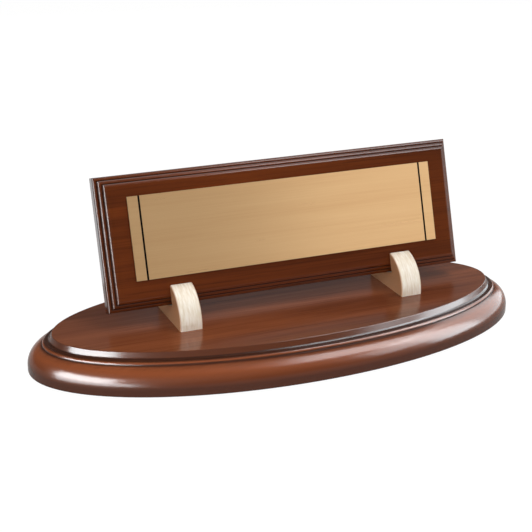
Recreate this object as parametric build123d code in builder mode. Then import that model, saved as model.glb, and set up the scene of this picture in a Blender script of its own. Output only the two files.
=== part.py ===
"""Desk name plate: a moulded wooden board with a metal plate, held in two slotted brackets on an oval base.

Millimetres. X runs along the length, the front faces -Y and +Z is up.
The origin is on the surface that the pads stand on, under the middle of the oval base.
"""
import os
from math import cos, radians, sin

from build123d import *

# Oval base, one board with a routed edge: from the top a steep slope, a cove, a bead and a round nosing
base_length = 317.8
base_depth = 144.4
base_thickness = 22.1
nosing_radius = 12.3
nosing_drop = 5.8
nosing_width = 9.1
bead_radius = 1.8
cove_width = 2.2
cove_radius = 2.0
slope_width = 1.9
slope_height = 4.2
rim_radius = 0.35
base_arris_radius = 1.2

# Rubber pads stuck under the base, placed by shares of its half length and half depth
pad_diameter = 14.0
pad_thickness = 1.2
pad_arris_radius = 0.4
pad_length_share = 0.64
pad_depth_share = 0.56

# Two cast brackets: a half-round block with a leaning slot for the board
bracket_spacing = 146.5
bracket_offset = 7.5
bracket_width = 14.0
bracket_radius = 22.0
bracket_toe_height = 1.5
bracket_arris_radius = 0.9
bracket_tip_radius = 0.5
lean_angle = 17.6
seat_height = 9.3
seat_forward = 0.9
slot_clearance = 0.25

# Countersunk machine screws, two up into each bracket
screw_spacing = 27.0
screw_diameter = 4.0
screw_head_diameter = 8.4
screw_head_angle = 90.0
screw_head_rim = 0.3
screw_recess = 0.4
screw_engagement = 8.5
screw_hole_clearance = 0.25
tapped_hole_clearance = 0.06
tapped_hole_spare = 1.5
drive_length = 4.4
drive_width = 0.9
drive_depth = 1.5

# Board that carries the plate, with a stepped moulding round its front
plaque_width = 235.0
plaque_height = 80.5
plaque_thickness = 12.5
moulding_width = 4.7
moulding_depth = 5.4
moulding_steps = 2
bead_share = 0.8

# Metal plate with two enamel-filled lines, stuck on with a sheet of double-sided tape
plate_width = 200.0
plate_height = 50.0
plate_thickness = 0.8
plate_rise = 2.0
tape_thickness = 0.3
tape_margin = 2.0
line_width = 1.2
line_inset = 7.1
line_depth = 0.3
enamel_depth = 0.22

# How far a cut runs past what it cuts
overrun = 2.0

# Heights and places that follow from the sizes above
base_top = pad_thickness + base_thickness
nosing_level = base_top - nosing_drop
bead_level = base_top - slope_height
slope_inset = nosing_width + bead_radius + cove_width
top_inset = slope_inset + slope_width
bracket_places = [bracket_offset - bracket_spacing / 2, bracket_offset + bracket_spacing / 2]
screw_rows = [-screw_spacing / 2, screw_spacing / 2]
screw_places = [(x, y) for x in bracket_places for y in screw_rows]
screw_radius = screw_diameter / 2
screw_head_radius = screw_head_diameter / 2
screw_head_bottom = pad_thickness + screw_recess
screw_tip = base_top + screw_engagement
slot_width = plaque_thickness + 2 * slot_clearance
lean = radians(lean_angle)

# Planes: one across the bracket's side, one on the board's middle with its foot on the slot's floor
bracket_plane = Plane(origin=(0, 0, base_top), x_dir=(0, 1, 0), z_dir=(1, 0, 0))
plaque_plane = Plane(
    origin=(bracket_offset, -seat_forward, base_top + seat_height),
    x_dir=(1, 0, 0),
    z_dir=(0, -cos(lean), sin(lean)),
)
facing = Axis(plaque_plane.origin, plaque_plane.z_dir)
front_level = plaque_thickness / 2
plate_level = front_level + tape_thickness
plate_middle = plaque_height / 2 + plate_rise

os.makedirs("parts", exist_ok=True)

# Nosing: the lower part of the base board, which the middle part stands out of
with BuildPart() as nosing:
    with BuildSketch(Plane.XY.offset(pad_thickness)):
        Ellipse(base_length / 2, base_depth / 2)
    extrude(amount=nosing_level - pad_thickness)
    fillet(nosing.edges().group_by(Axis.Z)[-1], radius=nosing_radius)
    fillet(nosing.edges().group_by(Axis.Z)[0], radius=base_arris_radius)

# Base board: the beaded middle part, the slope up to the top with a cove at its foot, and the nosing round them
with BuildPart() as base_board:
    with BuildSketch(Plane.XY.offset(pad_thickness)):
        Ellipse(base_length / 2 - nosing_width, base_depth / 2 - nosing_width)
    extrude(amount=bead_level - pad_thickness)
    fillet(base_board.edges().group_by(Axis.Z)[-1], radius=bead_radius)
    with BuildSketch(Plane.XY.offset(bead_level)):
        Ellipse(base_length / 2 - slope_inset, base_depth / 2 - slope_inset)
    with BuildSketch(Plane.XY.offset(base_top)):
        Ellipse(base_length / 2 - top_inset, base_depth / 2 - top_inset)
    loft(ruled=True)
    level_edges = base_board.edges().filter_by(lambda edge: edge.is_closed).group_by(Axis.Z)
    fillet(level_edges[-2].sort_by(SortBy.LENGTH)[0], radius=cove_radius)
    fillet(base_board.edges().group_by(Axis.Z)[-1], radius=rim_radius)
    add(nosing.part)
    with Locations(*[Plane(origin=(x, y, pad_thickness), z_dir=(0, 0, -1)) for x, y in screw_places]):
        CounterSinkHole(
            radius=screw_radius + screw_hole_clearance,
            counter_sink_radius=screw_head_radius + screw_recess + screw_head_rim + tapped_hole_clearance,
            depth=base_thickness + overrun,
            counter_sink_angle=screw_head_angle,
        )
base_board.part.label = "base_board"
export_step(base_board.part, "parts/base_board.step")

# Pads: one shape at four places
with BuildPart() as pad:
    with BuildSketch():
        Circle(pad_diameter / 2)
    extrude(amount=pad_thickness)
    fillet(pad.edges().group_by(Axis.Z)[0], radius=pad_arris_radius)

pad_x = base_length / 2 * pad_length_share
pad_y = base_depth / 2 * pad_depth_share
pad_places = {
    "foot_pad_front_left": (-pad_x, -pad_y),
    "foot_pad_front_right": (pad_x, -pad_y),
    "foot_pad_rear_left": (-pad_x, pad_y),
    "foot_pad_rear_right": (pad_x, pad_y),
}
for pad_name, pad_place in pad_places.items():
    with BuildPart() as foot_pad:
        with Locations(pad_place):
            add(pad.part)
    foot_pad.part.label = pad_name
    export_step(foot_pad.part, f"parts/{pad_name}.step")

# Bracket: a half-round block on a short upright toe, slotted at the lean of the board
with BuildPart() as bracket:
    with BuildSketch(bracket_plane):
        with BuildLine():
            crown = CenterArc((0, bracket_toe_height), bracket_radius, 0, 180)
            Polyline(crown @ 1, (-bracket_radius, 0), (bracket_radius, 0), crown @ 0)
        make_face()
    extrude(amount=bracket_width / 2, both=True)
    fillet(bracket.edges().filter_by(GeomType.CIRCLE), radius=bracket_arris_radius)
    with BuildSketch(bracket_plane):
        with Locations((-seat_forward, seat_height)):
            Rectangle(slot_width, 2 * bracket_radius, rotation=-lean_angle, align=(Align.CENTER, Align.MIN))
    extrude(amount=bracket_width / 2 + overrun, both=True, mode=Mode.SUBTRACT)
    fillet(bracket.edges().filter_by(Axis.X).sort_by(Axis.Z)[-2:], radius=bracket_tip_radius)
    with Locations(*[Plane(origin=(0, y, base_top), z_dir=(0, 0, -1)) for y in screw_rows]):
        Hole(radius=screw_radius + tapped_hole_clearance, depth=screw_engagement + tapped_hole_spare)

for bracket_name, bracket_x in zip(("bracket_left", "bracket_right"), bracket_places):
    with BuildPart() as placed_bracket:
        with Locations((bracket_x, 0)):
            add(bracket.part)
    placed_bracket.part.label = bracket_name
    export_step(placed_bracket.part, f"parts/{bracket_name}.step")

# Screw: head and shank turned in one, with a cross-shaped drive
with BuildPart() as screw:
    with BuildSketch(Plane.XZ):
        with BuildLine():
            Polyline(
                (0, screw_head_bottom),
                (screw_head_radius, screw_head_bottom),
                (screw_head_radius, screw_head_bottom + screw_head_rim),
                (screw_radius, screw_head_bottom + screw_head_rim + screw_head_radius - screw_radius),
                (screw_radius, screw_tip),
                (0, screw_tip),
                close=True,
            )
        make_face()
    revolve(axis=Axis.Z)
    with BuildSketch(Plane.XY.offset(screw_head_bottom)):
        Rectangle(drive_length, drive_width)
        Rectangle(drive_width, drive_length)
    extrude(amount=drive_depth, mode=Mode.SUBTRACT)

with BuildPart() as bracket_screws:
    with Locations(*screw_places):
        add(screw.part)
bracket_screws.part.label = "bracket_screws"
export_step(bracket_screws.part, "parts/bracket_screws.step")

# Plaque board: the back slab, then each step of the moulding set in from the one behind it
step_width = moulding_width / moulding_steps
step_depth = moulding_depth / moulding_steps
bead_radius = bead_share * min(step_width, step_depth)
with BuildPart() as plaque_board:
    with BuildSketch(plaque_plane.offset(-front_level)):
        with Locations((0, plaque_height / 2)):
            Rectangle(plaque_width, plaque_height)
    extrude(amount=plaque_thickness - moulding_depth)
    fillet(plaque_board.edges().group_by(facing)[-1], radius=bead_radius)
    for step in range(moulding_steps):
        step_inset = (step + 1) * step_width
        with BuildSketch(plaque_plane.offset(front_level - moulding_depth + step * step_depth)):
            with Locations((0, plaque_height / 2)):
                Rectangle(plaque_width - 2 * step_inset, plaque_height - 2 * step_inset)
        extrude(amount=step_depth)
        fillet(plaque_board.edges().group_by(facing)[-1], radius=bead_radius)
plaque_board.part.label = "plaque_board"
export_step(plaque_board.part, "parts/plaque_board.step")

# Tape between the board and the plate
with BuildPart() as plate_tape:
    with BuildSketch(plaque_plane.offset(front_level)):
        with Locations((0, plate_middle)):
            Rectangle(plate_width - 2 * tape_margin, plate_height - 2 * tape_margin)
    extrude(amount=tape_thickness)
plate_tape.part.label = "plate_tape"
export_step(plate_tape.part, "parts/plate_tape.step")

# Name plate: flat sheet with an engraved line near each end
line_places = [(side * (plate_width / 2 - line_inset), plate_middle) for side in (-1, 1)]
with BuildPart() as name_plate:
    with BuildSketch(plaque_plane.offset(plate_level)):
        with Locations((0, plate_middle)):
            Rectangle(plate_width, plate_height)
    extrude(amount=plate_thickness)
    with BuildSketch(plaque_plane.offset(plate_level + plate_thickness)):
        with Locations(*line_places):
            Rectangle(line_width, plate_height)
    extrude(amount=-line_depth, mode=Mode.SUBTRACT)
name_plate.part.label = "name_plate"
export_step(name_plate.part, "parts/name_plate.step")

# Enamel that fills the two lines, a little below the plate's face
with BuildPart() as enamel_lines:
    with BuildSketch(plaque_plane.offset(plate_level + plate_thickness - line_depth)):
        with Locations(*line_places):
            Rectangle(line_width, plate_height)
    extrude(amount=enamel_depth)
enamel_lines.part.label = "enamel_lines"
export_step(enamel_lines.part, "parts/enamel_lines.step")
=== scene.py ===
"""Desk name plate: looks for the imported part, in metres, in the part's own frame."""
import math

import bpy
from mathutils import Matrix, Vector

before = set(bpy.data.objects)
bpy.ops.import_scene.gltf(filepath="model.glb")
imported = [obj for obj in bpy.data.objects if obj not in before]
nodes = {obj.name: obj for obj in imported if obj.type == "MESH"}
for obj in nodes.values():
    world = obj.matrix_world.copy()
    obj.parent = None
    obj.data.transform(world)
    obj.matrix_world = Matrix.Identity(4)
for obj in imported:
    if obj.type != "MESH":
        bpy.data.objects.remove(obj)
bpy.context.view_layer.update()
bpy.ops.object.select_all(action="DESELECT")


# Base board: one oval board of beech with a routed edge and lengthwise grain; screws come up through it.
# Stained red-brown under a sprayed clear lacquer. The routed edge, where it faces out, is painted a lighter
# orange:
# painted light. Painted shade darkens the groove, the cove and the slope, and the colour darkens towards the
# foot.
def hex_colour(code):
    """Linear RGBA of an sRGB hex colour."""
    parts = [int(code[i:i + 2], 16) / 255 for i in (1, 3, 5)]
    linear = [c / 12.92 if c <= 0.04045 else ((c + 0.055) / 1.055) ** 2.4 for c in parts]
    return (*linear, 1.0)


def add_node(material, kind, inputs, **settings):
    """Adds one node with its settings; inputs are values, or other nodes' outputs to link."""
    made = material.node_tree.nodes.new(kind)
    for name, value in settings.items():
        setattr(made, name, value)
    for socket, value in inputs.items():
        if isinstance(value, bpy.types.NodeSocket):
            material.node_tree.links.new(value, made.inputs[socket])
        else:
            made.inputs[socket].default_value = value
    return made


def new_material(name):
    """An empty node material and its shader node."""
    material = bpy.data.materials.new(name)
    material.use_nodes = True
    return material, material.node_tree.nodes["Principled BSDF"]


def paint(node_name, material):
    """Puts a material in a CAD node's slots."""
    mesh = nodes[node_name].data
    mesh.materials.clear()
    mesh.materials.append(material)


base_fibre_size = (0.075, 0.0011, 0.0011)
base_band_size = (0.240, 0.017, 0.030)
fibre_spread = (0.50, 0.72)
band_spread = (0.34, 0.68)
base_fibre_strength = 0.55
base_light_stain = hex_colour("#864A2C")
base_dark_stain = hex_colour("#66351E")
base_fibre_stain = hex_colour("#43200F")
# Painted light: the routed edge, where it faces out rather than up, is painted a lighter orange for the front
# light on it.
base_edge_painted_light = hex_colour("#974F2A")
edge_tilt = (0.80, 0.99)
edge_strength = 0.75
# Painted shade: the slope of the routed edge is painted darker and greyer where it faces out rather than up.
base_slope_painted_shade = hex_colour("#4C2A1C")
slope_shade_bottom = 0.0186
slope_shade_top = 0.0198
# Painted shade: the colour darkens towards the foot of the base, for the shade low on its edge.
base_foot_painted_shade = hex_colour("#562A17")
foot_shade_bottom = 0.0060
foot_shade_top = 0.0140
# Painted shade: dark lines in the groove and the cove of the routed edge, where shade falls.
base_hollow_painted_shade = hex_colour("#2E170D")
groove_level = 0.0173
cove_level = 0.0194
hollow_shade_reach = 0.0009
hollow_shade_core = hollow_shade_reach / 3
hollow_shade_strength = 0.85
base_ripple_size = 0.011
base_ripple_height = 0.000006
base_stain_roughness = (0.34, 0.46)
base_lacquer_roughness = 0.2
lacquer_ior = 1.4

base_wood, shader = new_material("stained_lacquered_beech")
place = add_node(base_wood, "ShaderNodeTexCoord", {})
band_place = add_node(
    base_wood, "ShaderNodeMapping",
    {"Vector": place.outputs["Object"], "Scale": base_band_size}, vector_type="TEXTURE",
)
band = add_node(
    base_wood, "ShaderNodeTexNoise",
    {"Vector": band_place.outputs[0], "Scale": 1.0, "Detail": 3.0, "Roughness": 0.55, "Distortion": 0.6},
)
fibre_place = add_node(
    base_wood, "ShaderNodeMapping",
    {"Vector": place.outputs["Object"], "Scale": base_fibre_size}, vector_type="TEXTURE",
)
fibre = add_node(
    base_wood, "ShaderNodeTexNoise",
    {"Vector": fibre_place.outputs[0], "Scale": 1.0, "Detail": 5.0, "Roughness": 0.65},
)
fibre_share = add_node(
    base_wood, "ShaderNodeMapRange",
    {
        "Value": fibre.outputs["Fac"], "From Min": fibre_spread[0], "From Max": fibre_spread[1],
        "To Min": 0.0, "To Max": base_fibre_strength,
    },
)
band_share = add_node(
    base_wood, "ShaderNodeMapRange",
    {"Value": band.outputs["Fac"], "From Min": band_spread[0], "From Max": band_spread[1]},
)
band_colour = add_node(
    base_wood, "ShaderNodeMix",
    {0: band_share.outputs[0], 6: base_light_stain, 7: base_dark_stain}, data_type="RGBA",
)
wood_colour = add_node(
    base_wood, "ShaderNodeMix",
    {0: fibre_share.outputs[0], 6: band_colour.outputs[2], 7: base_fibre_stain}, data_type="RGBA",
)
facing = add_node(base_wood, "ShaderNodeNewGeometry", {})
facing_up = add_node(base_wood, "ShaderNodeSeparateXYZ", {0: facing.outputs["Normal"]})
# Painted light: share of the lighter edge colour, by how far the surface faces out rather than up.
edge_share = add_node(
    base_wood, "ShaderNodeMapRange",
    {
        "Value": facing_up.outputs["Z"], "From Min": edge_tilt[0], "From Max": edge_tilt[1],
        "To Min": edge_strength, "To Max": 0.0,
    },
)
edge_lit_colour = add_node(
    base_wood, "ShaderNodeMix",
    {0: edge_share.outputs[0], 6: wood_colour.outputs[2], 7: base_edge_painted_light}, data_type="RGBA",
)
spot = add_node(base_wood, "ShaderNodeSeparateXYZ", {0: place.outputs["Object"]})
# Painted shade on the slope: a band of height, on surfaces that face out rather than up.
slope_share = add_node(
    base_wood, "ShaderNodeMapRange",
    {"Value": spot.outputs["Z"], "From Min": slope_shade_bottom, "From Max": slope_shade_top},
)
slope_edge_share = add_node(
    base_wood, "ShaderNodeMath", {0: slope_share.outputs[0], 1: edge_share.outputs[0]}, operation="MULTIPLY",
)
slope_shaded_colour = add_node(
    base_wood, "ShaderNodeMix",
    {0: slope_edge_share.outputs[0], 6: edge_lit_colour.outputs[2], 7: base_slope_painted_shade}, data_type="RGBA",
)
# Painted shade towards the foot: full below the lower height, fading out at the upper one.
foot_share = add_node(
    base_wood, "ShaderNodeMapRange",
    {
        "Value": spot.outputs["Z"], "From Min": foot_shade_bottom, "From Max": foot_shade_top,
        "To Min": 1.0, "To Max": 0.0,
    },
)
foot_shaded_colour = add_node(
    base_wood, "ShaderNodeMix",
    {0: foot_share.outputs[0], 6: slope_shaded_colour.outputs[2], 7: base_foot_painted_shade}, data_type="RGBA",
)
# Painted shade in the hollows: darkest at the groove's and the cove's heights, fading within a short reach.
from_groove = add_node(
    base_wood, "ShaderNodeMath", {0: spot.outputs["Z"], 1: groove_level}, operation="SUBTRACT",
)
from_cove = add_node(
    base_wood, "ShaderNodeMath", {0: spot.outputs["Z"], 1: cove_level}, operation="SUBTRACT",
)
groove_gap = add_node(base_wood, "ShaderNodeMath", {0: from_groove.outputs[0]}, operation="ABSOLUTE")
cove_gap = add_node(base_wood, "ShaderNodeMath", {0: from_cove.outputs[0]}, operation="ABSOLUTE")
hollow_gap = add_node(
    base_wood, "ShaderNodeMath", {0: groove_gap.outputs[0], 1: cove_gap.outputs[0]}, operation="MINIMUM",
)
painted_shade_share = add_node(
    base_wood, "ShaderNodeMapRange",
    {
        "Value": hollow_gap.outputs[0], "From Min": hollow_shade_core, "From Max": hollow_shade_reach,
        "To Min": hollow_shade_strength, "To Max": 0.0,
    },
)
shaded_colour = add_node(
    base_wood, "ShaderNodeMix",
    {0: painted_shade_share.outputs[0], 6: foot_shaded_colour.outputs[2], 7: base_hollow_painted_shade}, data_type="RGBA",
)
ripple = add_node(
    base_wood, "ShaderNodeTexNoise",
    {"Vector": place.outputs["Object"], "Scale": 1 / base_ripple_size, "Detail": 1.0},
)
lacquer_ripple = add_node(
    base_wood, "ShaderNodeBump",
    {"Height": ripple.outputs["Fac"], "Strength": 1.0, "Distance": base_ripple_height},
)
roughness = add_node(
    base_wood, "ShaderNodeMapRange",
    {"Value": fibre.outputs["Fac"], "To Min": base_stain_roughness[0], "To Max": base_stain_roughness[1]},
)
links = base_wood.node_tree.links
links.new(shaded_colour.outputs[2], shader.inputs["Base Color"])
links.new(roughness.outputs[0], shader.inputs["Roughness"])
links.new(lacquer_ripple.outputs[0], shader.inputs["Normal"])
links.new(lacquer_ripple.outputs[0], shader.inputs["Coat Normal"])
shader.inputs["Specular IOR Level"].default_value = 0.0
shader.inputs["Coat Weight"].default_value = 1.0
shader.inputs["Coat Roughness"].default_value = base_lacquer_roughness
shader.inputs["Coat IOR"].default_value = lacquer_ior
paint("base_board", base_wood)

# Foot pads: die-cut black rubber discs, stuck under the base.
# Matt, with the faint speckle of a moulded rubber sheet.
rubber_speck_size = 0.0006
rubber_dark = hex_colour("#161616")
rubber_light = hex_colour("#2A2A29")
rubber_roughness = 0.85

pad_rubber, shader = new_material("moulded_black_rubber")
place = add_node(pad_rubber, "ShaderNodeTexCoord", {})
speck = add_node(
    pad_rubber, "ShaderNodeTexNoise",
    {"Vector": place.outputs["Object"], "Scale": 1 / rubber_speck_size, "Detail": 2.0},
)
rubber_colour = add_node(
    pad_rubber, "ShaderNodeMix",
    {0: speck.outputs["Fac"], 6: rubber_dark, 7: rubber_light}, data_type="RGBA",
)
pad_rubber.node_tree.links.new(rubber_colour.outputs[2], shader.inputs["Base Color"])
shader.inputs["Roughness"].default_value = rubber_roughness
for side in ("front_left", "front_right", "rear_left", "rear_right"):
    paint(f"foot_pad_{side}", pad_rubber)

# Brackets: cast in zinc alloy and plated in pale satin gold, nearly matt; their slots hold the board.
# The rounded edge is polished along its curve. The polishing streaks
# are drawn about three times as coarse as the real ones to show at all. The flat sides are painted a darker
# brownish tan.
polish_streak_size = (0.0011, 0.007, 0.007)
polish_streak_height = 0.000010
polish_streak_spread = (0.35, 0.68)
plating_pale = hex_colour("#F3ECE0")
plating_deep = hex_colour("#E0D2BB")
# Painted shade and painted reflection: the flat sides are darker and browner, for their shade and the brown
# wood they mirror.
plating_side_painted_shade = hex_colour("#C4926A")
plating_roughness = (0.48, 0.60)
plating_metallic = 0.4

bracket_plating, shader = new_material("satin_gold_plated_casting")
place = add_node(bracket_plating, "ShaderNodeTexCoord", {})
streak_place = add_node(
    bracket_plating, "ShaderNodeMapping",
    {"Vector": place.outputs["Object"], "Scale": polish_streak_size}, vector_type="TEXTURE",
)
streak = add_node(
    bracket_plating, "ShaderNodeTexNoise",
    {"Vector": streak_place.outputs[0], "Scale": 1.0, "Detail": 3.0, "Roughness": 0.6},
)
streak_share = add_node(
    bracket_plating, "ShaderNodeMapRange",
    {
        "Value": streak.outputs["Fac"],
        "From Min": polish_streak_spread[0], "From Max": polish_streak_spread[1],
    },
)
plating_colour = add_node(
    bracket_plating, "ShaderNodeMix",
    {0: streak_share.outputs[0], 6: plating_pale, 7: plating_deep}, data_type="RGBA",
)
# Painted shade and reflection on the sides: share of the side colour by how far the surface faces left or
# right.
facing = add_node(bracket_plating, "ShaderNodeNewGeometry", {})
facing_side = add_node(bracket_plating, "ShaderNodeSeparateXYZ", {0: facing.outputs["Normal"]})
side_share = add_node(bracket_plating, "ShaderNodeMath", {0: facing_side.outputs["X"]}, operation="ABSOLUTE")
plating_shaded_colour = add_node(
    bracket_plating, "ShaderNodeMix",
    {0: side_share.outputs[0], 6: plating_colour.outputs[2], 7: plating_side_painted_shade}, data_type="RGBA",
)
polish_bump = add_node(
    bracket_plating, "ShaderNodeBump",
    {"Height": streak.outputs["Fac"], "Strength": 1.0, "Distance": polish_streak_height},
)
roughness = add_node(
    bracket_plating, "ShaderNodeMapRange",
    {"Value": streak.outputs["Fac"], "To Min": plating_roughness[0], "To Max": plating_roughness[1]},
)
links = bracket_plating.node_tree.links
links.new(plating_shaded_colour.outputs[2], shader.inputs["Base Color"])
links.new(polish_bump.outputs[0], shader.inputs["Normal"])
links.new(roughness.outputs[0], shader.inputs["Roughness"])
shader.inputs["Metallic"].default_value = plating_metallic
paint("bracket_left", bracket_plating)
paint("bracket_right", bracket_plating)

# Bracket screws: four countersunk machine screws, zinc plated steel, driven up from under the base.
# The plating is smooth and faintly mottled.
zinc_mottle_size = 0.0012
zinc_pale = hex_colour("#B4B6BA")
zinc_dark = hex_colour("#8E9196")
zinc_roughness = 0.36

screw_zinc, shader = new_material("zinc_plated_steel")
place = add_node(screw_zinc, "ShaderNodeTexCoord", {})
mottle = add_node(
    screw_zinc, "ShaderNodeTexNoise",
    {"Vector": place.outputs["Object"], "Scale": 1 / zinc_mottle_size, "Detail": 3.0},
)
zinc_colour = add_node(
    screw_zinc, "ShaderNodeMix",
    {0: mottle.outputs["Fac"], 6: zinc_pale, 7: zinc_dark}, data_type="RGBA",
)
screw_zinc.node_tree.links.new(zinc_colour.outputs[2], shader.inputs["Base Color"])
shader.inputs["Metallic"].default_value = 1.0
shader.inputs["Roughness"].default_value = zinc_roughness
paint("bracket_screws", screw_zinc)

# Plaque board: a beech board with a moulding of three rounded steps, stained brown and lacquered.
# Painted shade darkens the moulding's corners and its outer edge.
# It stands in the brackets' slots, leaning back, with its grain along its length.
lean = math.radians(17.6)
plaque_foot = (0.0075, -0.0009, 0.0326)
plaque_turn = (math.pi / 2 - lean, 0.0, 0.0)
plaque_half_width = 0.1175
plaque_half_height = 0.04025
plaque_fibre_size = (0.060, 0.0010, 0.0010)
plaque_band_size = (0.200, 0.013, 0.030)
plaque_fibre_strength = 0.6
plaque_light_stain = hex_colour("#6E3311")
plaque_dark_stain = hex_colour("#54250C")
plaque_fibre_stain = hex_colour("#3A1907")
# Painted shade: dark lines in the moulding's corners and along its outer edge, where shade falls.
plaque_painted_shade = hex_colour("#1E0D06")
moulding_step = 0.00235
moulding_shade_shift = 0.00015
moulding_shade_core = 0.00015
moulding_shade_reach = 0.00055
moulding_shade_strength = 0.7
moulding_shade_end = 0.0051
moulding_shade_depth = -0.0018
plaque_ripple_size = 0.009
plaque_ripple_height = 0.000006
plaque_stain_roughness = (0.36, 0.48)
plaque_lacquer_roughness = 0.16

plaque_wood, shader = new_material("brown_stained_lacquered_beech")
place = add_node(plaque_wood, "ShaderNodeTexCoord", {})
board_place = add_node(
    plaque_wood, "ShaderNodeMapping",
    {"Vector": place.outputs["Object"], "Location": plaque_foot, "Rotation": plaque_turn},
    vector_type="TEXTURE",
)
band_place = add_node(
    plaque_wood, "ShaderNodeMapping",
    {"Vector": board_place.outputs[0], "Scale": plaque_band_size}, vector_type="TEXTURE",
)
band = add_node(
    plaque_wood, "ShaderNodeTexNoise",
    {"Vector": band_place.outputs[0], "Scale": 1.0, "Detail": 3.0, "Roughness": 0.55, "Distortion": 0.5},
)
fibre_place = add_node(
    plaque_wood, "ShaderNodeMapping",
    {"Vector": board_place.outputs[0], "Scale": plaque_fibre_size}, vector_type="TEXTURE",
)
fibre = add_node(
    plaque_wood, "ShaderNodeTexNoise",
    {"Vector": fibre_place.outputs[0], "Scale": 1.0, "Detail": 5.0, "Roughness": 0.65},
)
fibre_share = add_node(
    plaque_wood, "ShaderNodeMapRange",
    {
        "Value": fibre.outputs["Fac"], "From Min": fibre_spread[0], "From Max": fibre_spread[1],
        "To Min": 0.0, "To Max": plaque_fibre_strength,
    },
)
band_share = add_node(
    plaque_wood, "ShaderNodeMapRange",
    {"Value": band.outputs["Fac"], "From Min": band_spread[0], "From Max": band_spread[1]},
)
band_colour = add_node(
    plaque_wood, "ShaderNodeMix",
    {0: band_share.outputs[0], 6: plaque_light_stain, 7: plaque_dark_stain}, data_type="RGBA",
)
wood_colour = add_node(
    plaque_wood, "ShaderNodeMix",
    {0: fibre_share.outputs[0], 6: band_colour.outputs[2], 7: plaque_fibre_stain}, data_type="RGBA",
)
board_spot = add_node(plaque_wood, "ShaderNodeSeparateXYZ", {0: board_place.outputs[0]})
from_centre = add_node(plaque_wood, "ShaderNodeMath", {0: board_spot.outputs["X"]}, operation="ABSOLUTE")
from_end = add_node(
    plaque_wood, "ShaderNodeMath",
    {0: plaque_half_width, 1: from_centre.outputs[0]}, operation="SUBTRACT",
)
above_middle = add_node(
    plaque_wood, "ShaderNodeMath",
    {0: board_spot.outputs["Y"], 1: plaque_half_height}, operation="SUBTRACT",
)
from_middle = add_node(plaque_wood, "ShaderNodeMath", {0: above_middle.outputs[0]}, operation="ABSOLUTE")
from_side = add_node(
    plaque_wood, "ShaderNodeMath",
    {0: plaque_half_height, 1: from_middle.outputs[0]}, operation="SUBTRACT",
)
inset = add_node(
    plaque_wood, "ShaderNodeMath", {0: from_end.outputs[0], 1: from_side.outputs[0]}, operation="MINIMUM",
)
shifted_inset = add_node(
    plaque_wood, "ShaderNodeMath", {0: inset.outputs[0], 1: moulding_shade_shift}, operation="ADD",
)
corner_gap = add_node(
    plaque_wood, "ShaderNodeMath",
    {0: shifted_inset.outputs[0], 1: moulding_step / 2}, operation="PINGPONG",
)
corner_share = add_node(
    plaque_wood, "ShaderNodeMapRange",
    {
        "Value": corner_gap.outputs[0], "From Min": moulding_shade_core, "From Max": moulding_shade_reach,
        "To Min": moulding_shade_strength, "To Max": 0.0,
    },
)
moulding_share = add_node(
    plaque_wood, "ShaderNodeMath", {0: inset.outputs[0], 1: moulding_shade_end}, operation="LESS_THAN",
)
front_share = add_node(
    plaque_wood, "ShaderNodeMath",
    {0: board_spot.outputs["Z"], 1: moulding_shade_depth}, operation="GREATER_THAN",
)
moulding_front = add_node(
    plaque_wood, "ShaderNodeMath",
    {0: moulding_share.outputs[0], 1: front_share.outputs[0]}, operation="MULTIPLY",
)
# Painted shade in the moulding's corners and along its outer edge, on its front only.
painted_shade_share = add_node(
    plaque_wood, "ShaderNodeMath",
    {0: corner_share.outputs[0], 1: moulding_front.outputs[0]}, operation="MULTIPLY",
)
shaded_colour = add_node(
    plaque_wood, "ShaderNodeMix",
    {0: painted_shade_share.outputs[0], 6: wood_colour.outputs[2], 7: plaque_painted_shade}, data_type="RGBA",
)
ripple = add_node(
    plaque_wood, "ShaderNodeTexNoise",
    {"Vector": place.outputs["Object"], "Scale": 1 / plaque_ripple_size, "Detail": 1.0},
)
lacquer_ripple = add_node(
    plaque_wood, "ShaderNodeBump",
    {"Height": ripple.outputs["Fac"], "Strength": 1.0, "Distance": plaque_ripple_height},
)
roughness = add_node(
    plaque_wood, "ShaderNodeMapRange",
    {"Value": fibre.outputs["Fac"], "To Min": plaque_stain_roughness[0], "To Max": plaque_stain_roughness[1]},
)
links = plaque_wood.node_tree.links
links.new(shaded_colour.outputs[2], shader.inputs["Base Color"])
links.new(roughness.outputs[0], shader.inputs["Roughness"])
links.new(lacquer_ripple.outputs[0], shader.inputs["Normal"])
links.new(lacquer_ripple.outputs[0], shader.inputs["Coat Normal"])
shader.inputs["Specular IOR Level"].default_value = 0.0
shader.inputs["Coat Weight"].default_value = 1.0
shader.inputs["Coat Roughness"].default_value = plaque_lacquer_roughness
shader.inputs["Coat IOR"].default_value = lacquer_ior
paint("plaque_board", plaque_wood)

# Plate tape: thin double-sided foam tape between the board and the plate.
# Off-white, matt, with the fine cells of the foam.
foam_cell_size = 0.0005
foam_pale = hex_colour("#E2E1DB")
foam_dark = hex_colour("#CBC9C0")
foam_roughness = 0.9

tape_foam, shader = new_material("white_foam_tape")
place = add_node(tape_foam, "ShaderNodeTexCoord", {})
cells = add_node(
    tape_foam, "ShaderNodeTexNoise",
    {"Vector": place.outputs["Object"], "Scale": 1 / foam_cell_size, "Detail": 1.0},
)
foam_colour = add_node(
    tape_foam, "ShaderNodeMix",
    {0: cells.outputs["Fac"], 6: foam_pale, 7: foam_dark}, data_type="RGBA",
)
tape_foam.node_tree.links.new(foam_colour.outputs[2], shader.inputs["Base Color"])
shader.inputs["Roughness"].default_value = foam_roughness
paint("plate_tape", tape_foam)

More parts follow.
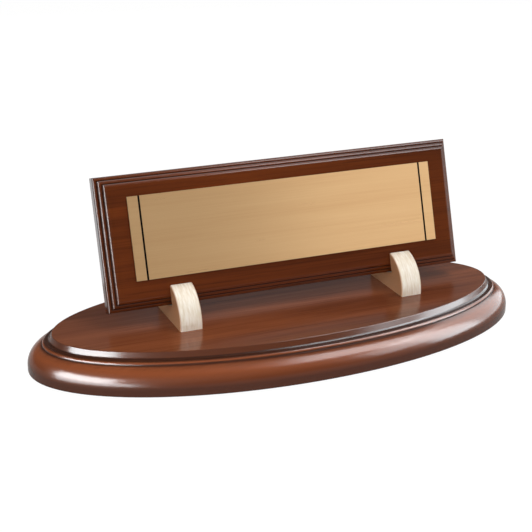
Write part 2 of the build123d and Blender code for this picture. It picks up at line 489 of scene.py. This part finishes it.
# Name plate: pale gold brass sheet, brushed along its length and left blank between its two end lines.
# The brushing spreads each reflection across it and shows as long fine streaks, drawn about three times
# as coarse as the real ones to show at all.
brush_streak_size = (0.070, 0.00045, 0.00045)
brush_cloud_size = (0.120, 0.010, 0.010)
brush_spread = (0.12, 0.40)
brush_height = 0.000002
brass_pale = hex_colour("#CFA97B")
brass_deep = hex_colour("#C8A072")
brass_roughness = (0.24, 0.36)
brass_anisotropy = 0.75
brass_metallic = 0.9

plate_brass, shader = new_material("brushed_pale_brass")
place = add_node(plate_brass, "ShaderNodeTexCoord", {})
plate_place = add_node(
    plate_brass, "ShaderNodeMapping",
    {"Vector": place.outputs["Object"], "Location": plaque_foot, "Rotation": plaque_turn},
    vector_type="TEXTURE",
)
streak_place = add_node(
    plate_brass, "ShaderNodeMapping",
    {"Vector": plate_place.outputs[0], "Scale": brush_streak_size}, vector_type="TEXTURE",
)
streak = add_node(
    plate_brass, "ShaderNodeTexNoise",
    {"Vector": streak_place.outputs[0], "Scale": 1.0, "Detail": 4.0, "Roughness": 0.6},
)
cloud_place = add_node(
    plate_brass, "ShaderNodeMapping",
    {"Vector": plate_place.outputs[0], "Scale": brush_cloud_size}, vector_type="TEXTURE",
)
cloud = add_node(
    plate_brass, "ShaderNodeTexNoise",
    {"Vector": cloud_place.outputs[0], "Scale": 1.0, "Detail": 2.0},
)
streak_mix = add_node(
    plate_brass, "ShaderNodeMath",
    {0: streak.outputs["Fac"], 1: cloud.outputs["Fac"]}, operation="MULTIPLY",
)
streak_share = add_node(
    plate_brass, "ShaderNodeMapRange",
    {"Value": streak_mix.outputs[0], "From Min": brush_spread[0], "From Max": brush_spread[1]},
)
brass_colour = add_node(
    plate_brass, "ShaderNodeMix",
    {0: streak_share.outputs[0], 6: brass_pale, 7: brass_deep}, data_type="RGBA",
)
brush_bump = add_node(
    plate_brass, "ShaderNodeBump",
    {"Height": streak.outputs["Fac"], "Strength": 1.0, "Distance": brush_height},
)
roughness = add_node(
    plate_brass, "ShaderNodeMapRange",
    {"Value": streak.outputs["Fac"], "To Min": brass_roughness[0], "To Max": brass_roughness[1]},
)
brush_across = add_node(
    plate_brass, "ShaderNodeCombineXYZ", {"X": 0.0, "Y": math.sin(lean), "Z": math.cos(lean)},
)
links = plate_brass.node_tree.links
links.new(brass_colour.outputs[2], shader.inputs["Base Color"])
links.new(brush_bump.outputs[0], shader.inputs["Normal"])
links.new(roughness.outputs[0], shader.inputs["Roughness"])
links.new(brush_across.outputs[0], shader.inputs["Tangent"])
shader.inputs["Anisotropic"].default_value = brass_anisotropy
shader.inputs["Metallic"].default_value = brass_metallic
paint("name_plate", plate_brass)

# Enamel lines: black enamel wiped into the two engraved lines and left a little below the face.
# Matt, with a faint unevenness where it was wiped.
wipe_size = 0.0015
enamel_black = hex_colour("#070605")
enamel_grey = hex_colour("#120E0D")
enamel_roughness = 0.6
enamel_gloss = 0.05

line_enamel, shader = new_material("black_enamel")
place = add_node(line_enamel, "ShaderNodeTexCoord", {})
wipe = add_node(
    line_enamel, "ShaderNodeTexNoise",
    {"Vector": place.outputs["Object"], "Scale": 1 / wipe_size, "Detail": 2.0},
)
enamel_colour = add_node(
    line_enamel, "ShaderNodeMix",
    {0: wipe.outputs["Fac"], 6: enamel_black, 7: enamel_grey}, data_type="RGBA",
)
line_enamel.node_tree.links.new(enamel_colour.outputs[2], shader.inputs["Base Color"])
shader.inputs["Roughness"].default_value = enamel_roughness
shader.inputs["Specular IOR Level"].default_value = enamel_gloss
paint("enamel_lines", line_enamel)

# Floor and backdrop: a round sheet of white paper in a dim room with a pale horizon.
# To the camera both are white, with the object's faint shadow on the paper.
# In reflections they show dimmer.
floor_radius = 6.0
floor_corners = 96
floor_white = hex_colour("#C4C2BF")
floor_roughness = 0.9
floor_glow = 0.90
floor_mirror_glow = 0.25
floor_glow_strength = 1.09
room_white = hex_colour("#FFFFFF")
room_glow = 0.12
horizon_glow = 0.7
horizon_bottom = 0.05
horizon_top = 0.13

bpy.ops.mesh.primitive_circle_add(vertices=floor_corners, radius=floor_radius, fill_type="NGON")
floor = bpy.context.object
floor.name = "studio_floor"
floor_paper, shader = new_material("white_paper_floor")
shader.inputs["Base Color"].default_value = floor_white
shader.inputs["Roughness"].default_value = floor_roughness
shader.inputs["Specular IOR Level"].default_value = 0.0
ray = add_node(floor_paper, "ShaderNodeLightPath", {})
direct_share = add_node(
    floor_paper, "ShaderNodeMath", {0: ray.outputs["Is Camera Ray"], 1: floor_glow}, operation="MULTIPLY",
)
seen_mirrored = add_node(
    floor_paper, "ShaderNodeMath",
    {0: ray.outputs["Is Glossy Ray"], 1: ray.outputs["Is Transmission Ray"]}, operation="MAXIMUM",
)
mirror_share = add_node(
    floor_paper, "ShaderNodeMath",
    {0: seen_mirrored.outputs[0], 1: floor_mirror_glow}, operation="MULTIPLY",
)
glow_share = add_node(
    floor_paper, "ShaderNodeMath",
    {0: direct_share.outputs[0], 1: mirror_share.outputs[0]}, operation="MAXIMUM",
)
white_glow = add_node(floor_paper, "ShaderNodeEmission", {"Strength": floor_glow_strength})
floor_mix = add_node(
    floor_paper, "ShaderNodeMixShader",
    {0: glow_share.outputs[0], 1: shader.outputs[0], 2: white_glow.outputs[0]},
)
floor_paper.node_tree.links.new(
    floor_mix.outputs[0], floor_paper.node_tree.nodes["Material Output"].inputs["Surface"]
)
floor.data.materials.append(floor_paper)

room = bpy.data.worlds.new("studio")
room.use_nodes = True
bpy.context.scene.world = room
direction = add_node(room, "ShaderNodeTexCoord", {})
height = add_node(room, "ShaderNodeSeparateXYZ", {0: direction.outputs["Generated"]})
horizon = add_node(
    room, "ShaderNodeMapRange",
    {
        "Value": height.outputs["Z"], "From Min": horizon_bottom, "From Max": horizon_top,
        "To Min": horizon_glow, "To Max": room_glow,
    },
)
ray = add_node(room, "ShaderNodeLightPath", {})
backdrop = add_node(
    room, "ShaderNodeMath", {0: horizon.outputs[0], 1: ray.outputs["Is Camera Ray"]}, operation="MAXIMUM",
)
room_shader = room.node_tree.nodes["Background"]
room_shader.inputs["Color"].default_value = room_white
room.node_tree.links.new(backdrop.outputs[0], room_shader.inputs["Strength"])

# Lamps: four soft panels light the surfaces, from the right, the left, behind and in front.
# The others only show as reflections, each in the base's lacquer, in the board's lacquer or in the metal,
# so that the strong ones that draw the base's edge don't bleach the board and the plate.
reflect_in = {
    "base": ("base_board",),
    "board": ("plaque_board",),
    "metal": ("bracket_left", "bracket_right", "bracket_screws", "name_plate"),
}
reflecting = {}
for finish, node_names in reflect_in.items():
    reflecting[finish] = bpy.data.collections.new(f"{finish}_pieces")
    for node_name in node_names:
        reflecting[finish].objects.link(nodes[node_name])


def add_panel(name, place, aim, size, watts, shows_in, tint):
    """A soft panel, turned to its aim point, that lights the surfaces or shows in one finish."""
    bpy.ops.object.light_add(type="AREA", location=place)
    panel = bpy.context.object
    panel.name = name
    panel.rotation_mode = "QUATERNION"
    panel.rotation_quaternion = (Vector(aim) - Vector(place)).to_track_quat("-Z", "Y")
    panel.data.shape = "RECTANGLE"
    panel.data.size, panel.data.size_y = size
    panel.data.energy = watts
    panel.data.color = tint
    panel.visible_camera = False
    panel.visible_diffuse = shows_in == "surface"
    panel.visible_glossy = shows_in != "surface"
    if shows_in in reflecting:
        panel.light_linking.receiver_collection = reflecting[shows_in]


middle = (0.0, 0.0, 0.045)
white = (1.0, 1.0, 1.0)
cool = (0.84, 0.95, 1.0)
add_panel("key_right", (0.55, -0.25, 1.15), middle, (1.0, 1.0), 10.5, "surface", white)
add_panel("key_left", (-1.0, -0.1, 0.8), middle, (1.0, 1.0), 4.0, "surface", white)
add_panel("fill_back", (0.2, 1.1, 0.45), middle, (0.8, 0.5), 4.0, "surface", white)
add_panel("fill_front", (-0.40, -0.95, 0.55), middle, (0.8, 0.6), 4.2, "surface", white)
add_panel("base_wall", (1.2, -0.6, 0.72), (0.0, -0.6, 0.72), (0.6, 1.36), 43.6, "base", cool)
add_panel("base_wall_front", (1.2, -1.25, 0.92), (0.0, -1.25, 0.92), (0.7, 0.95), 17.8, "base", cool)
add_panel("base_wall_back", (1.2, 0.2, 0.72), (0.0, 0.2, 0.72), (1.0, 1.36), 22.5, "base", cool)
add_panel("base_ceiling", (0.9, -0.5, 1.4), (0.9, -0.5, 0.0), (0.9, 1.0), 31.1, "base", cool)
add_panel("base_left_high", (-1.096, -0.488, 0.58), (0.0, 0.0, 0.58), (1.0, 0.6), 64.1, "base", cool)
add_panel("base_left_low", (-1.039, -0.6, 0.17), (0.0, 0.0, 0.17), (1.2, 0.3), 19.0, "base", cool)
add_panel("board_left", (-1.188, -0.167, 0.11), (0.0, 0.0, 0.11), (0.73, 0.2), 9.2, "board", cool)
add_panel("board_floor", (-0.62, 0.35, 0.012), (-0.62, 0.35, 1.0), (0.98, 0.5), 1.2, "board", cool)
add_panel("base_back", (0.75, 1.2, 0.6), (0.75, 0.0, 0.6), (1.0, 0.7), 0.26, "base", white)
add_panel("board_wall", (1.2, -0.5, 0.72), (0.0, -0.5, 0.72), (1.6, 1.36), 8.5, "board", cool)
add_panel("board_back", (0.3, 0.8, 1.2), (0.0, 0.0, 0.1), (2.2, 1.6), 13.3, "board", cool)
add_panel("board_ceiling", (0.9, -0.5, 1.4), (0.9, -0.5, 0.0), (0.9, 1.0), 22.6, "board", cool)
add_panel("metal_right", (1.072, -0.9, 0.62), (0.0, 0.0, 0.62), (1.4, 1.3), 6.9, "metal", white)
add_panel("metal_front", (0.195, -1.386, 0.62), (0.0, 0.0, 0.62), (0.8, 1.3), 1.37, "metal", white)
add_panel("metal_left", (-1.147, -0.803, 0.62), (0.0, 0.0, 0.62), (1.4, 1.3), 4.9, "metal", white)
add_panel("metal_top", (0.1, -0.3, 1.4), (0.1, -0.3, 0.0), (1.6, 1.4), 12.0, "metal", white)
add_panel("metal_back", (0.0, 1.3, 0.7), (0.0, 0.0, 0.7), (2.4, 1.3), 7.8, "metal", white)

# Camera: where the photograph was taken from, in front, to the left and above.
# Its place and lens were fitted to the outlines of the base, the board and the plate.
camera_azimuth = math.radians(-22.39)
camera_elevation = math.radians(20.51)
camera_distance = 0.7833
camera_target = Vector((-0.00941, 0.0, 0.04829))
focal_length = 86.46
sensor_width = 36.0
nearest = 0.05
farthest = 20.0

camera_back = Vector((
    math.sin(camera_azimuth) * math.cos(camera_elevation),
    -math.cos(camera_azimuth) * math.cos(camera_elevation),
    math.sin(camera_elevation),
))
bpy.ops.object.camera_add(location=camera_target + camera_back * camera_distance)
camera = bpy.context.object
camera.rotation_mode = "QUATERNION"
camera.rotation_quaternion = (-camera_back).to_track_quat("-Z", "Y")
camera.data.lens = focal_length
camera.data.sensor_width = sensor_width
camera.data.sensor_fit = "HORIZONTAL"
camera.data.clip_start = nearest
camera.data.clip_end = farthest
bpy.context.scene.camera = camera
bpy.context.scene.view_settings.view_transform = "Standard"
